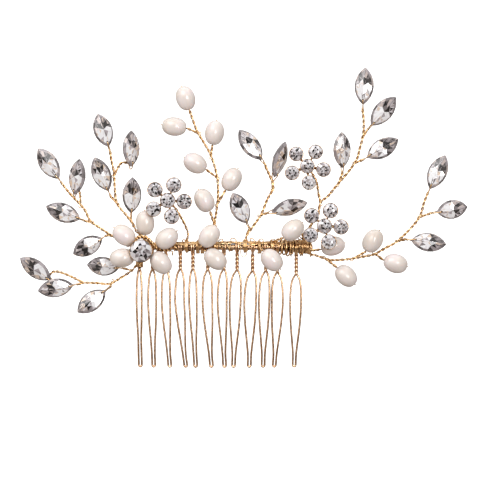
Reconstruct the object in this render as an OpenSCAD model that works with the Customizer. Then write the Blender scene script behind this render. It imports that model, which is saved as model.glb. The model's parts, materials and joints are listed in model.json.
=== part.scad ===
// Wired bridal side comb: twelve wire teeth on a bowed spine, with navette crystal
// leaves, rice pearls and round-stone blossoms on twisted wire sprigs.
// Origin: middle of the spine's axis. +X right, +Y away from the front, +Z up. Teeth point to -Z.

/* [Comb] */
// Radius of the spine's bow in plan
bow_r = 110; // [90:5:160]
// Radius of the spine rod
spine_r = 0.9; // [0.8:0.05:1]
// Thickness of the wire that the teeth are bent from
tooth_wire = 0.7; // [0.6:0.05:0.75]
// Height of the teeth's tips
tip_z = -37.5; // [-42:0.5:-36]
// How far the teeth's tips curve towards the head
tooth_curve = 2.5; // [0:0.5:4]

/* [Wire] */
// Thickness of a twisted pair of stem wires
stem_d = 0.8; // [0.7:0.05:0.9]
// Thickness of the single wire that holds a crystal
loop_wire = 0.4; // [0.3:0.05:0.4]
// Thickness of the wire that runs through a pearl
thread_d = 0.6; // [0.5:0.05:0.6]

/* [Pearls] */
// Length of a rice pearl
pearl_len = 7.2; // [6.5:0.1:7.4]
// Diameter of a rice pearl
pearl_d = 5.6; // [5:0.1:5.8]
// Diameter of the hole drilled through a pearl
pearl_bore = 0.72; // [0.66:0.02:0.78]

/* [Stones] */
// Diameter of a blossom's round stones
stone_d = 4.1; // [3.8:0.1:4.2]
// Distance of a blossom's petals from its middle
petal_ring = 5.1; // [5:0.1:5.4]
// Diameter of the pearl flower's centre stone
center_d = 6.2; // [5.8:0.1:6.4]
// Width of a navette crystal
navette_w = 6; // [5.5:0.1:6.4]
// Thickness of a navette crystal
navette_t = 3.4; // [3:0.1:3.6]

/* [Hidden] */

gold = [0.86, 0.65, 0.36];
rose_gold = [0.75, 0.58, 0.44];
pearl_white = [0.94, 0.9, 0.87];
crystal_clear = [0.86, 0.88, 0.91];

sides = 8;
fit = 0.05;
wrap_r = spine_r + fit + tooth_wire;
bind_r = wrap_r + 0.15;
tail_in = bind_r + fit;
tail_out = tail_in + 0.6;
leaf_hole_s = 1.4;
leaf_loop_r = 1.5;
leaf_lead = 1.6;
cup_wall = 0.15;
cup_depth = 1.8;
arm_r = 0.35;
arm_back = 1.8;
spine_x0 = -27.2;
spine_x1 = 29.2;
tail_w = 0.9;
flower_at = [-23.7, -6.1, -1.2];
tie_back = 2.3;

// One row per tooth: middle at the loop's top, middle at the widest height, tip, half gap, top height
TEETH = [
  [-24.5, -24.6, -24.3, 0.8, -7.5], [-20.4, -20.5, -20.1, 1.25, -7.5],
  [-16.2, -16.2, -15.1, 1.3, -7.5], [-11.7, -11.9, -10.1, 1.4, -7.2],
  [-7.8, -7.8, -7.0, 1.15, -7.2], [-3.2, -3.3, -2.1, 1.5, -7.5],
  [1.8, 1.25, 2, 1.4, -7.2], [5.9, 5.3, 4.8, 1.7, -7.5],
  [10.7, 9.95, 9.7, 1.8, -7.8], [14.8, 14.3, 14, 1.6, -7.8],
  [18.4, 18.4, 17.5, 1.7, -8.2], [24.3, 24.1, 23.7, 1.7, -8.8]];

// Pearls: middle of the pearl and the angle of its drilled hole from +X
PETALS = [
  [[-29, -3.2, 3.7], -37], [[-22.6, -1.4, 7.5], 92], [[-15.8, -3.4, 2.7], 37],
  [[-17.6, -3.8, -4.8], -48], [[-29.6, -3.2, -3.3], 5]];
SPINE_PEARLS = [
  [[-2.7, -4.7, 3.4], 53], [[-0.8, -4.8, -3.7], -39], [[16.6, -4, -4], -46],
  [[23.1, -3.2, 5.3], 38], [[35.7, 2.4, 0.3], 15]];
SPRAY_PEARLS = [
  [[-10.1, 1.2, 46.2], 108], [[-13.6, 0.2, 37.4], -8], [[-1.1, 1.4, 35.5], 80],
  [[-7.1, 0.4, 26], -30], [[4.2, 1.6, 21], 60], [[-4.3, 0.4, 14.5], -62]];
RIGHT_PEARLS = [
  [[48.1, 3.2, 1.9], 57], [[55.3, 4.4, -5.1], -15], [[39.8, 2.8, -9], -43]];

// Crystals: drilled end, far tip, and the turn about its own length
LOWER_LEFT_LEAVES = [
  [[-52.1, 3.4, -10.1], [-61.7, 4, -3.4], -22], [[-45, 2.6, -11.8], [-56.1, 2.4, -13.6], -12],
  [[-35, 2.4, -13.5], [-43.7, 1.6, -20.3], 8], [[-30.7, 1.8, -6.5], [-40.8, 2.4, -5.4], -8]];
MIDDLE_LEFT_LEAVES = [
  [[-49.6, 3.2, 21.2], [-56.1, 4.2, 30.8], -10], [[-44.6, 2.8, 16.3], [-43.1, 2, 27.4], -30],
  [[-42.8, 2, 8.7], [-53.6, 3, 12.7], 6], [[-36, 1.4, 2.8], [-45, 1, -2.2], -14]];
UPPER_LEFT_LEAVES = [
  [[-34.1, 2.6, 31.2], [-37.5, 3.4, 41.5], 10], [[-27.1, 2.2, 25], [-27, 3, 36.3], 35],
  [[-34.1, 2.2, 17.4], [-38.4, 1.4, 27.9], -8], [[-27, 1, 10.5], [-26.5, 0.4, 21.7], 12]];
CENTER_LEAVES = [
  [[9, -0.4, 7.3], [4.5, -1.4, 16.8], 12], [[13.5, 0.8, 27.1], [6.5, 1.6, 36.4], 22],
  [[17.4, 0.8, 21.7], [20.9, 0.4, 32.7], 55], [[16.6, 0.4, 10.9], [27.7, 1, 13.8], 38]];
UPPER_RIGHT_LEAVES = [
  [[45.1, 3.4, 44.3], [45.9, 4, 56], -8], [[47.6, 3, 37.8], [55.2, 2, 46.7], 8],
  [[46.3, 2.6, 27.9], [56.1, 3.4, 33.6], -10], [[38.6, 2, 24.6], [38.4, 1, 35.7], 26]];
LOWER_RIGHT_LEAVES = [
  [[66, 5, 18.1], [71, 6, 28.7], -8], [[68.2, 4.8, 10.9], [77.8, 5.4, 12.6], 10],
  [[60.1, 4.4, 2.2], [71.1, 4, 0.8], -14]];

// Blossoms: middle, and the angle of the first petal
LEFT_BLOSSOM = [[-15.5, -4.8, 14.4], -4];
UPPER_BLOSSOM = [[27.6, -2.6, 25], -12];
RIGHT_BLOSSOM = [[32.9, -3.2, 6.5], -3];

function bow_y(x) = bow_r - sqrt(bow_r * bow_r - x * x);
function unit(v) = v / norm(v);
function flat_dir(angle) = [cos(angle), 0, sin(angle)];

// The point where a stem meets the wire loop of a crystal
function leaf_end(leaf) = leaf[0] - leaf_lead * unit(leaf[1] - leaf[0]);
// Point on the line of a crystal's hole, behind the hole's middle by the given distance
function behind_hole(leaf, back) =
  let (z = unit(leaf[1] - leaf[0]), x = unit(cross([0, 1, 0], z)), y = cross(z, x))
  leaf[0] + leaf_hole_s * z + back * (cos(leaf[2]) * y - sin(leaf[2]) * x);
// The two ends of the straight wire through a pearl: inner, near the stem, and outer
function inner_end(pearl, way = -1) = pearl[0] + way * (pearl_len / 2 + 0.9) * flat_dir(pearl[1]);

// Smooth curve through points, with n steps between each two
function spline_at(p0, p1, p2, p3, t) =
  0.5 * (2 * p1 + (p2 - p0) * t + (2 * p0 - 5 * p1 + 4 * p2 - p3) * t * t
  + (3 * p1 - p0 - 3 * p2 + p3) * t * t * t);
function smooth(pts, n = 2) = let (last = len(pts) - 1) concat(
  [for (i = [0:last - 1], k = [0:n - 1])
    spline_at(pts[max(i - 1, 0)], pts[i], pts[i + 1], pts[min(i + 2, last)], k / n)],
  [pts[last]]);

// Direction of the path at each of its points
function path_dir(pts, i) = unit(pts[min(i + 1, len(pts) - 1)] - pts[max(i - 1, 0)]);
// Side vectors carried along the path, so that the tube doesn't twist
function carry(pts, i, side) = let (t = path_dir(pts, i)) unit(side - (side * t) * t);
function sides_of(pts, start) = [
  for (i = 0, s = carry(pts, 0, start); i < len(pts);
    i = i + 1, s = i < len(pts) ? carry(pts, i, s) : s) s];

// Round tube along a path, closed at both ends
module tube(pts, r, start = [0, 1, 0.13]) {
  side = sides_of(pts, start);
  rings = [for (i = [0:len(pts) - 1], k = [0:sides - 1])
    let (t = path_dir(pts, i), a = 360 * k / sides)
    pts[i] + r * (cos(a) * side[i] + sin(a) * cross(t, side[i]))];
  walls = [for (i = [0:len(pts) - 2], k = [0:sides - 1])
    let (a = i * sides + k, b = i * sides + (k + 1) % sides)
    each [[a, a + sides, b], [b, a + sides, b + sides]]];
  base = [for (k = [0:sides - 1]) k];
  end = [for (k = [sides - 1:-1:0]) (len(pts) - 1) * sides + k];
  polyhedron(rings, concat(walls, [base, end]));
}

// Straight round wire between two points
module rod(a, b, r) {
  d = b - a;
  translate(a)
    rotate([0, acos(d[2] / norm(d)), atan2(d[1], d[0])])
      cylinder(h = norm(d), r = r, $fn = 24);
}

// Sleeve round the bowed spine from x0 to x1
module sleeve(x0, x1, r_in, r_out) {
  a0 = asin(x0 / bow_r);
  a1 = asin(x1 / bow_r);
  translate([0, bow_r, 0])
    rotate([0, 0, a0 - 90])
      rotate_extrude(angle = a1 - a0, $fn = 720)
        translate([bow_r, 0])
          difference() {
            circle(r = r_out, $fn = 32);
            if (r_in > 0) circle(r = r_in, $fn = 32);
          }
}

// Puts the children's +Z along the direction, with their +Y kept towards the back
module aim(origin, dir, turn = 0) {
  z = unit(dir);
  x = unit(cross([0, 1, 0], z));
  y = cross(z, x);
  multmatrix([
    [x[0], y[0], z[0], origin[0]],
    [x[1], y[1], z[1], origin[1]],
    [x[2], y[2], z[2], origin[2]],
    [0, 0, 0, 1]])
    rotate([0, 0, turn])
      children();
}

// Half width of a navette's outline at a distance from its middle
function navette_half(s, len) =
  let (r = (len * len + navette_w * navette_w) / (4 * navette_w))
  sqrt(r * r - s * s) - r + navette_w / 2;

// Navette crystal, drilled at its lower end, which is at the leaf's first point
module navette(leaf) {
  len = norm(leaf[1] - leaf[0]);
  steps = 6;
  rim = concat(
    [for (i = [0:steps]) let (s = len / 2 * cos(180 * i / steps)) [navette_half(s, len), s]],
    [for (i = [1:steps - 1]) let (s = -len / 2 * cos(180 * i / steps)) [-navette_half(s, len), s]]);
  n = len(rim);
  layer = [[-navette_t / 2, 0.5], [-0.25, 1], [0.25, 1], [navette_t / 2, 0.5]];
  pts = [for (l = layer, p = rim) [p[0] * l[1], l[0], len / 2 + p[1] * l[1]]];
  bands = [for (j = [0:2], i = [0:n - 1])
    let (a = j * n + i, b = j * n + (i + 1) % n)
    each [[a, a + n, b], [b, a + n, b + n]]];
  front = [for (i = [0:n - 1]) i];
  back = [for (i = [n - 1:-1:0]) 3 * n + i];
  aim(leaf[0], leaf[1] - leaf[0], leaf[2])
    difference() {
      polyhedron(pts, concat(bands, [front, back]));
      translate([0, 0, leaf_hole_s])
        rotate([90, 0, 0])
          cylinder(h = navette_t + 1, r = 0.45, center = true, $fn = 24);
    }
}

// Wire loop through a crystal's hole, open towards the stem
module leaf_loop(leaf) {
  aim(leaf[0], leaf[1] - leaf[0], leaf[2])
    translate([0, 0, leaf_hole_s - leaf_loop_r])
      rotate([0, 90, 0])
        rotate_extrude($fn = 32)
          translate([leaf_loop_r, 0])
            circle(r = loop_wire / 2, $fn = 16);
}

// Stem that reaches a crystal from behind, and its wire through the hole
module back_stem(points, leaf) {
  stem(concat(points, [behind_hole(leaf, tie_back)]));
  tube([behind_hole(leaf, tie_back), behind_hole(leaf, 1 - tie_back)], loop_wire / 2);
}

module leaves(list) {
  color(crystal_clear)
    for (leaf = list) navette(leaf);
}

module leaf_loops(list) {
  for (leaf = list) leaf_loop(leaf);
}

// Rice pearl, a body of revolution about its drilled hole
module pearl(pearl) {
  bore = pearl_bore / 2;
  steps = 9;
  start = asin(2 * bore / pearl_d);
  outline = [for (i = [0:steps])
    let (a = start + (180 - 2 * start) * i / steps)
    [i == 0 || i == steps ? bore : pearl_d / 2 * sin(a), -pearl_len / 2 * cos(a)]];
  color(pearl_white)
    aim(pearl[0], flat_dir(pearl[1]))
      rotate_extrude($fn = 48)
        polygon(outline);
}

// Wire through a pearl, bent back at the far end and carried behind the pearl to the stem.
// way is -1 when the stem is at the hole's start and 1 when it is at its end.
module thread(pearl, way = -1) {
  u = -way * flat_dir(pearl[1]);
  reach = pearl_len / 2 + 0.9;
  rod(pearl[0] - u * reach, pearl[0] + u * (reach - 0.2), thread_d / 2);
  back = pearl_d / 2 + 0.55;
  bend = [for (p = [[-1, 0], [-0.94, 0.5], [-0.7, 0.86], [-0.36, 1], [0, 1.06], [0.36, 1],
    [0.7, 0.86], [0.94, 0.5], [1, 0]])
    pearl[0] + u * (reach - 0.3) * p[0] + [0, back * p[1], 0]];
  tube(smooth(bend, 1), 0.2, [0, 0.1, 1]);
}

module threads(list) {
  for (p = list) thread(p);
}

// Cut round stone: flat table to the front, pointed back
module round_stone(d) {
  rotate([90, 0, 0])
    rotate_extrude($fn = 12)
      polygon([[0, 0.3 * d], [0.3 * d, 0.22 * d], [d / 2, 0.05 * d], [d / 2, 0], [0, -0.36 * d]]);
}

// Cup that holds a round stone by its girdle
module stone_cup(d) {
  r = d / 2 + fit + 0.02;
  rotate([90, 0, 0])
    rotate_extrude($fn = 48)
      polygon([[r, 0.1 * d], [r + cup_wall, 0.1 * d], [r + cup_wall, -0.1 * d],
        [0.55 * r, -cup_depth * d / 4], [0, -cup_depth * d / 4], [0, -cup_depth * d / 4 + 0.2],
        [0.45 * r, -cup_depth * d / 4 + 0.2], [r, -0.02 * d]]);
}

function petal_at(blossom, i) =
  blossom[0] + petal_ring * flat_dir(blossom[1] + 72 * i);

module blossom_stones(blossom) {
  color(crystal_clear) {
    translate(blossom[0]) round_stone(stone_d);
    for (i = [0:4]) translate(petal_at(blossom, i)) round_stone(stone_d);
  }
}

// Six cups on five wire arms behind them
module blossom_cups(blossom) {
  color(gold) {
    translate(blossom[0]) stone_cup(stone_d);
    for (i = [0:4]) {
      translate(petal_at(blossom, i)) stone_cup(stone_d);
      rod(blossom[0] + [0, arm_back, 0], petal_at(blossom, i) + [0, arm_back, 0], arm_r);
    }
  }
}

// Stem of twisted wire through hand-set points
module stem(points, n = 2) {
  tube(smooth(points, n), stem_d / 2);
}

module comb_spine() {
  color(rose_gold) sleeve(spine_x0, spine_x1, 0, spine_r);
}

// Middle of a tooth at height step k
function tooth_x(t, k) = t[0] + (t[1] - t[0]) * min(1, k / 3)
  + (t[2] - t[1]) * max(0, (k - 3) / 4);
// Share of the half gap and of the height at eight steps down a leg
LEG_GAP = [0, 0.55, 0.86, 1, 0.84, 0.55, 0.3, 0];
LEG_DROP = [0, 0.05, 0.15, 0.33, 0.54, 0.72, 0.88, 1];

// Hairpin of round wire: from the rope down one leg, round the tip and up the other
module comb_tooth(i) {
  t = TEETH[i];
  top = tooth_wire / 2 + 0.03;
  tip = tooth_wire / 2 + 0.12;
  rope_r = tooth_wire * 1.07;
  function z_at(k) = t[4] + (tip_z + 0.9 - t[4]) * LEG_DROP[k];
  function half(k) = k == 0 ? top : max(tip, t[3] * LEG_GAP[k]);
  function leg(k, way) = [tooth_x(t, k) + way * half(k),
    bow_y(t[0]) + tooth_curve * pow((z_at(k) - t[4]) / (tip_z - t[4]), 2), z_at(k)];
  turn = [for (a = [150, 90, 30]) leg(7, 0) + tip * [cos(a), 0, -1.6 * sin(a)]];
  path = concat([leg(0, -1) + [0, 0, 0.6]], [for (k = [0:7]) leg(k, -1)], turn,
    [for (k = [7:-1:0]) leg(k, 1)], [leg(0, 1) + [0, 0, 0.6]]);
  color(rose_gold) {
    tube(path, tooth_wire / 2);
    translate([t[0], bow_y(t[0]), t[4] - 0.1])
      cylinder(h = -t[4] + 0.1 - spine_r - fit - 0.2, r = rope_r, $fn = 24);
    sleeve(t[0] - tooth_wire, t[0] + tooth_wire, spine_r + fit, wrap_r);
  }
}

// Windings of fine wire in the gaps between the teeth, heavier at the right end
module binding_wire() {
  edge = tooth_wire + fit;
  color(gold) {
    sleeve(spine_x0 + 0.2, TEETH[0][0] - edge, spine_r + fit, bind_r);
    for (i = [0:9]) sleeve(TEETH[i][0] + edge, TEETH[i + 1][0] - edge, spine_r + fit, bind_r);
    sleeve(TEETH[10][0] + edge, TEETH[11][0] - edge, spine_r + fit, tail_out);
    sleeve(TEETH[11][0] + edge, spine_x1 - 0.2, spine_r + fit, bind_r);
  }
}

// One end of a wire, wound round the binding at x
module wound_end(x) {
  sleeve(x - tail_w / 2, x + tail_w / 2, tail_in, tail_out);
}

// Point on the wound end at x, at an angle up from the front
function on_end(x, angle) =
  let (a = asin(x / bow_r), out = (tail_in + 0.4) * cos(angle))
  [x + out * sin(a), bow_y(x) - out * cos(a), (tail_in + 0.4) * sin(angle)];

// A stem's wound end, and its leg to the point where the sprig bends
module root(x, angle, points) {
  wound_end(x);
  tube(concat([on_end(x, angle)], points), stem_d / 2);
}

module stem_roots() {
  color(gold) {
    // The lower left sprig's wires are wound round the first tooth's rope
    translate([TEETH[0][0], bow_y(TEETH[0][0]), -6.4])
      difference() {
        cylinder(h = 2, r = 1.35, $fn = 32);
        translate([0, 0, -1]) cylinder(h = 4, r = tooth_wire * 1.07 + fit, $fn = 32);
      }
    tube([[-25.4, 2, -5.6], [-26.2, 1.8, -6.8]], stem_d / 2);
    root(-26.3, 80, [[-28.4, 1.6, 2.8], [-30.6, 1.3, 2.9], [-32.2, 1.2, 3.2]]);
    root(-22.4, 80, [[-23.8, 1.4, 3.4], [-25.4, 1.1, 5]]);
    root(-9.7, 80, [[-9.4, 0.2, 3.2]]);
    root(-0.7, 70, [[-1.1, 0.4, 3.4], [-1.2, 0.9, 4.4]]);
    root(8.3, 80, [[8.7, 0.2, 2.9]]);
    root(26.5, 80, [[26.2, 2.2, 3.2]]);
    root(28.4, -70, [[29.2, 3.2, -2.4]]);
  }
}

module center_cup() {
  color(gold) translate(flower_at) stone_cup(center_d);
}

module center_stone() {
  color(crystal_clear) translate(flower_at) round_stone(center_d);
}

// Which end of a petal pearl's hole faces the flower's middle: 1 its end, -1 its start
PETAL_WAY = [1, -1, -1, -1, 1];
// Where each petal wire enters the bound core: distance along the core, and direction
PETAL_ENTRY = [[0.5, 158], [1.4, 90], [0.3, 5], [0.9, -35], [0.7, -115]];
module petal_wires() {
  core = [-23.4, -2.4, 0.2];
  core_r = 0.7;
  function entry(along, angle) = core + [0, along, 0] + 0.35 * flat_dir(angle);
  color(gold) {
    rod(core, core + [0, 2.2, 0], core_r);
    for (i = [0:4]) {
      inner = inner_end(PETALS[i], PETAL_WAY[i]);
      thread(PETALS[i], PETAL_WAY[i]);
      tube([inner, entry(PETAL_ENTRY[i][0], PETAL_ENTRY[i][1])], thread_d / 2);
    }
    tube([entry(1.8, 0), [-20.8, -1.1, 0.2], on_end(-18.3, 0)], thread_d / 2);
    wound_end(-18.3);
  }
}

module spine_pearl_wires() {
  // Where each pearl's wire is wound on, and how far up from the front it leaves
  wound = [[-6.2, 0], [-4.8, 0], [12.75, 0], [16.6, 50], [27.45, -10]];
  color(gold) {
    for (i = [0:3]) {
      thread(SPINE_PEARLS[i]);
      wound_end(wound[i][0]);
      tube([inner_end(SPINE_PEARLS[i]), on_end(wound[i][0], wound[i][1])], thread_d / 2);
    }
    thread(SPINE_PEARLS[4]);
    wound_end(wound[4][0]);
    tube([inner_end(SPINE_PEARLS[4]), [29.6, 1.1, -1], [28.4, 0.6, -0.7],
      on_end(wound[4][0], wound[4][1])], thread_d / 2);
  }
}

module left_blossom_stem() {
  color(gold)
    stem([[-9.3, 0.1, 4], [-9.6, -0.2, 5.3], [-10.5, -0.8, 7.4], [-11.5, -1.6, 9.3],
      [-13.2, -2.4, 12], LEFT_BLOSSOM[0] + [0.4, arm_back, -0.6]]);
}

module right_blossom_stem() {
  color(gold) {
    wound_end(25.55);
    stem([on_end(25.55, 45), [26.6, 0.6, 2.2], [29.4, -0.2, 3.8], [31.2, -0.9, 5.1],
      RIGHT_BLOSSOM[0] + [-0.4, arm_back, -0.4]]);
  }
}

module lower_left_stem() {
  leaf = LOWER_LEFT_LEAVES;
  color(gold) {
    stem([[-26.8, 1.8, -7.3], [-29.8, 1.8, -9.3], [-33.8, 2, -11.4], [-37.5, 2.2, -11.2],
      [-41.9, 2.4, -11.1], leaf_end(leaf[1])]);
    back_stem([[-41.9, 2.4, -11.1], [-45.7, 3.2, -9.2], [-49.4, 4.3, -7.8], [-51.4, 5.2, -7.7]],
      leaf[0]);
    stem([[-33, 2, -11], leaf_end(leaf[2])], 1);
    stem([[-26.8, 1.8, -7.3], leaf_end(leaf[3])], 1);
    leaf_loops([leaf[1], leaf[2], leaf[3]]);
  }
}

module middle_left_stem() {
  leaf = MIDDLE_LEFT_LEAVES;
  color(gold) {
    stem([[-32.9, 1.2, 3.5], [-36.6, 1.4, 5.9], [-39.7, 1.6, 8.1], [-41.2, 1.9, 11.2],
      [-42.9, 2.2, 13.3], [-45.9, 2.6, 16.4], leaf_end(leaf[0])]);
    back_stem([[-42.9, 2.2, 13.2], [-42.9, 3.3, 15.4]], leaf[1]);
    stem([[-39.6, 1.6, 7.8], leaf_end(leaf[2])], 1);
    stem([[-32.9, 1.2, 3.5], leaf_end(leaf[3])], 1);
    leaf_loops([leaf[0], leaf[2], leaf[3]]);
  }
}

module upper_left_stem() {
  leaf = UPPER_LEFT_LEAVES;
  color(gold) {
    stem([[-25.8, 1, 5.8], [-26.4, 0.9, 7.1], [-28.5, 1, 9.9], [-31.4, 1.4, 13.6], [-32.1, 1.8, 18.3],
      [-32.4, 2, 23.3], [-33.2, 2.2, 27], leaf_end(leaf[0])]);
    back_stem([[-32.3, 2, 22.4], [-31.3, 2.4, 24.4], [-30.1, 3.3, 26.2]], leaf[1]);
    stem([[-31.4, 1.4, 13.6], leaf_end(leaf[2])], 1);
    stem([[-26.4, 0.9, 7.1], leaf_end(leaf[3])], 1);
    leaf_loops([leaf[0], leaf[2], leaf[3]]);
  }
}

module center_stem() {
  leaf = CENTER_LEAVES;
  color(gold) {
    stem([[8.9, 0, 3.7], [10.9, 0, 6.5], [13.3, 0.2, 10], [15.2, 0.4, 14.6], [17.1, 0.6, 18.6],
      [16, 0.8, 22.2], [14.9, 0.8, 24.6], leaf_end(leaf[1])]);
    stem([[8.9, 0, 3.7], leaf_end(leaf[0])], 1);
    stem([[16.9, 0.6, 18.3], leaf_end(leaf[2])], 1);
    stem([[13.2, 0.2, 9.8], leaf_end(leaf[3])], 1);
    leaf_loops(leaf);
  }
}

module upper_right_stem() {
  leaf = UPPER_RIGHT_LEAVES;
  color(gold) {
    stem([[26.5, 2, 3.9], [29.1, 1.6, 7.1], [31, 1.4, 9.9], [31.8, 1.2, 13.8], [34.1, 1.4, 15.8],
      [36.9, 1.8, 19.2], [40.9, 2.2, 23.9], [43.2, 2.6, 27.5], [44, 2.8, 30.4], [45.2, 3, 35],
      [45.3, 3.2, 39.4], leaf_end(leaf[0])]);
    stem([[45.2, 3, 34.6], leaf_end(leaf[1])], 1);
    stem([[42.6, 2.5, 26.2], leaf_end(leaf[2])], 1);
    stem([[37.4, 1.9, 19.8], leaf_end(leaf[3])], 1);
    stem([[31.8, 1.2, 13.8], [31.1, 0.8, 16.9], [30.5, 0, 20.2], UPPER_BLOSSOM[0] + [0.6, arm_back, -0.6]]);
    leaf_loops(leaf);
  }
}

module lower_right_stem() {
  leaf = LOWER_RIGHT_LEAVES;
  color(gold) {
    stem([[29.8, 3.1, -2.4], [32.2, 3, -3.2], [35, 3, -4], [39.4, 3, -3.9], [45.6, 3.2, -2.9],
      [48.7, 3.4, -2.2], [52.1, 3.6, -0.3], [55.5, 3.8, 1.6], [59.8, 4.2, 5.6], [62.9, 4.4, 9.6],
      [64.2, 4.8, 13.8], leaf_end(leaf[0])]);
    stem([[62.9, 4.4, 9.4], leaf_end(leaf[1])], 1);
    stem([[55.9, 3.8, 1.8], leaf_end(leaf[2])], 1);
    stem([[42, 3, -3.6], inner_end(RIGHT_PEARLS[0])], 1);
    stem([[48.9, 3.4, -2.1], inner_end(RIGHT_PEARLS[1])], 1);
    stem([[33.4, 3, -3.6], inner_end(RIGHT_PEARLS[2])], 1);
    leaf_loops(leaf);
    threads(RIGHT_PEARLS);
  }
}

SPRAY_WAY = [-1, 1, -1, 1, -1, 1];
module pearl_spray_stem() {
  way = SPRAY_WAY;
  pearls = SPRAY_PEARLS;
  color(gold) {
    stem([[-1.2, 0.9, 5], [-1, 1, 7.8], [-0.4, 1, 12], [0, 1, 17], [-0.4, 1, 22.4], [-2.2, 1.1, 28.4],
      [-4.7, 1.1, 32.9], [-6.6, 1.2, 36.2], inner_end(pearls[0], way[0])]);
    stem([[-6.2, 1.2, 35.4], inner_end(pearls[1], way[1])], 1);
    stem([[-2.2, 1.1, 28.4], inner_end(pearls[2], way[2])], 1);
    stem([[-0.4, 1, 21.6], inner_end(pearls[3], way[3])], 1);
    stem([[-0.2, 1, 13.4], inner_end(pearls[4], way[4])], 1);
    stem([[-1.1, 1, 6.8], inner_end(pearls[5], way[5])], 1);
    for (i = [0:5]) thread(pearls[i], way[i]);
  }
}

comb_spine();
for (i = [0:11]) comb_tooth(i);
binding_wire();
stem_roots();
center_cup();
center_stone();
petal_wires();
for (i = [0:4]) pearl(PETALS[i]);
spine_pearl_wires();
for (i = [0:4]) pearl(SPINE_PEARLS[i]);
left_blossom_stem();
blossom_cups(LEFT_BLOSSOM);  // left_blossom_cups
blossom_stones(LEFT_BLOSSOM);  // left_blossom_stones
right_blossom_stem();
blossom_cups(RIGHT_BLOSSOM);  // right_blossom_cups
blossom_stones(RIGHT_BLOSSOM);  // right_blossom_stones
blossom_cups(UPPER_BLOSSOM);  // upper_blossom_cups
blossom_stones(UPPER_BLOSSOM);  // upper_blossom_stones
lower_left_stem();
leaves(LOWER_LEFT_LEAVES);  // lower_left_leaves
middle_left_stem();
leaves(MIDDLE_LEFT_LEAVES);  // middle_left_leaves
upper_left_stem();
leaves(UPPER_LEFT_LEAVES);  // upper_left_leaves
center_stem();
leaves(CENTER_LEAVES);  // center_leaves
upper_right_stem();
leaves(UPPER_RIGHT_LEAVES);  // upper_right_leaves
lower_right_stem();
leaves(LOWER_RIGHT_LEAVES);  // lower_right_leaves
for (i = [0:2]) pearl(RIGHT_PEARLS[i]);
pearl_spray_stem();
for (i = [0:5]) pearl(SPRAY_PEARLS[i]);
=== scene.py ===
"""Looks of the wired side comb: twisted gold wire, crystals, foil-backed stones and rice pearls.

The tables hold the part's own positions in millimetres, in the CAD frame: +X right, +Y away from
the front, +Z up, the origin in the middle of the comb's spine. Shape turns them into metres.
"""
import json
import math
import random

import bmesh
import bpy
import numpy as np
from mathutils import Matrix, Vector


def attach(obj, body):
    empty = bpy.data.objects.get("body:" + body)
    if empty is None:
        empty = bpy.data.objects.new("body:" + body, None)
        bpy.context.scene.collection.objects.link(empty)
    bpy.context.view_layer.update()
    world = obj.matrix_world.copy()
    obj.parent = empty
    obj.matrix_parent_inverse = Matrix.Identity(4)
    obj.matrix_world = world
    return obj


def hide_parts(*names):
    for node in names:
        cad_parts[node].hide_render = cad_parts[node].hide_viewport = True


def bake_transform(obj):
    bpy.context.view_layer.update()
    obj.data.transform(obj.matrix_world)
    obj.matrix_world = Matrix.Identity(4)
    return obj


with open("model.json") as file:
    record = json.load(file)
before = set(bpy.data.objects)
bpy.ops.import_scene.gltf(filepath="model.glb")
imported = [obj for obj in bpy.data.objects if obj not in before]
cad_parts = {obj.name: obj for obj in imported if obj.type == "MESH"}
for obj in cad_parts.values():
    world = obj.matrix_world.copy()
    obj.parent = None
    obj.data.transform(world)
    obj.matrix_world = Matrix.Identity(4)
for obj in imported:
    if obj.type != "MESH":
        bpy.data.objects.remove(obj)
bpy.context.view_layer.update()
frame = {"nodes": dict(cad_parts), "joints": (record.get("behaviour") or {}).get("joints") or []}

MM = 0.001
random.seed(11)

# ---------------------------------------------------------------- dimensions, mm
BOW_R = 110
SPINE_R = 0.9
TOOTH_WIRE = 0.7
TIP_Z = -37.5
TOOTH_CURVE = 2.5
PEARL_LEN = 7.2
PEARL_D = 5.6
PEARL_BORE = 0.72
PEARL_FATTER = 1.07  # The real pearls are fuller than the CAD's
PEARL_LONGER = 1.06
STONE_D = 4.1
CENTER_D = 6.2
PETAL_RING = 5.1
NAVETTE_W = 6.0
NAVETTE_T = 3.4
HOLE_S = 1.4  # Drilled hole, from the crystal's end
HOLE_R = 0.36
LEAF_LEAD = 1.6  # A stem stops this far before the crystal
TAIL_R = 2.15  # Wound wire ends lie this far from the spine's axis
FINE = 0.23  # Radii of the wires: stems and windings
TIE = 0.17  # crystals' ties and small loops
PEARL_TIE = 0.16
COIL = 0.15  # tight coils and eyelets
SLACK = 0.13  # the loose wire under the spine
TWIST = 3.3  # Length of one turn of a twisted pair
FLOWER = (-23.7, -6.1, -1.2)
TIE_BACK = 2.3  # Stems that come up behind a crystal lie this far back
TO_THE_END = 1e9

# Teeth: middle at the loop's top, at the widest height and at the tip, half gap, top height
TEETH = [
    (-24.5, -24.6, -24.3, 0.8, -7.5), (-20.4, -20.5, -20.1, 1.25, -7.5),
    (-16.2, -16.2, -15.1, 1.3, -7.5), (-11.7, -11.9, -10.1, 1.4, -7.2),
    (-7.8, -7.8, -7.0, 1.15, -7.2), (-3.2, -3.3, -2.1, 1.5, -7.5),
    (1.8, 1.25, 2, 1.4, -7.2), (5.9, 5.3, 4.8, 1.7, -7.5),
    (10.7, 9.95, 9.7, 1.8, -7.8), (14.8, 14.3, 14, 1.6, -7.8),
    (18.4, 18.4, 17.5, 1.7, -8.2), (24.3, 24.1, 23.7, 1.7, -8.8)]

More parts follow.
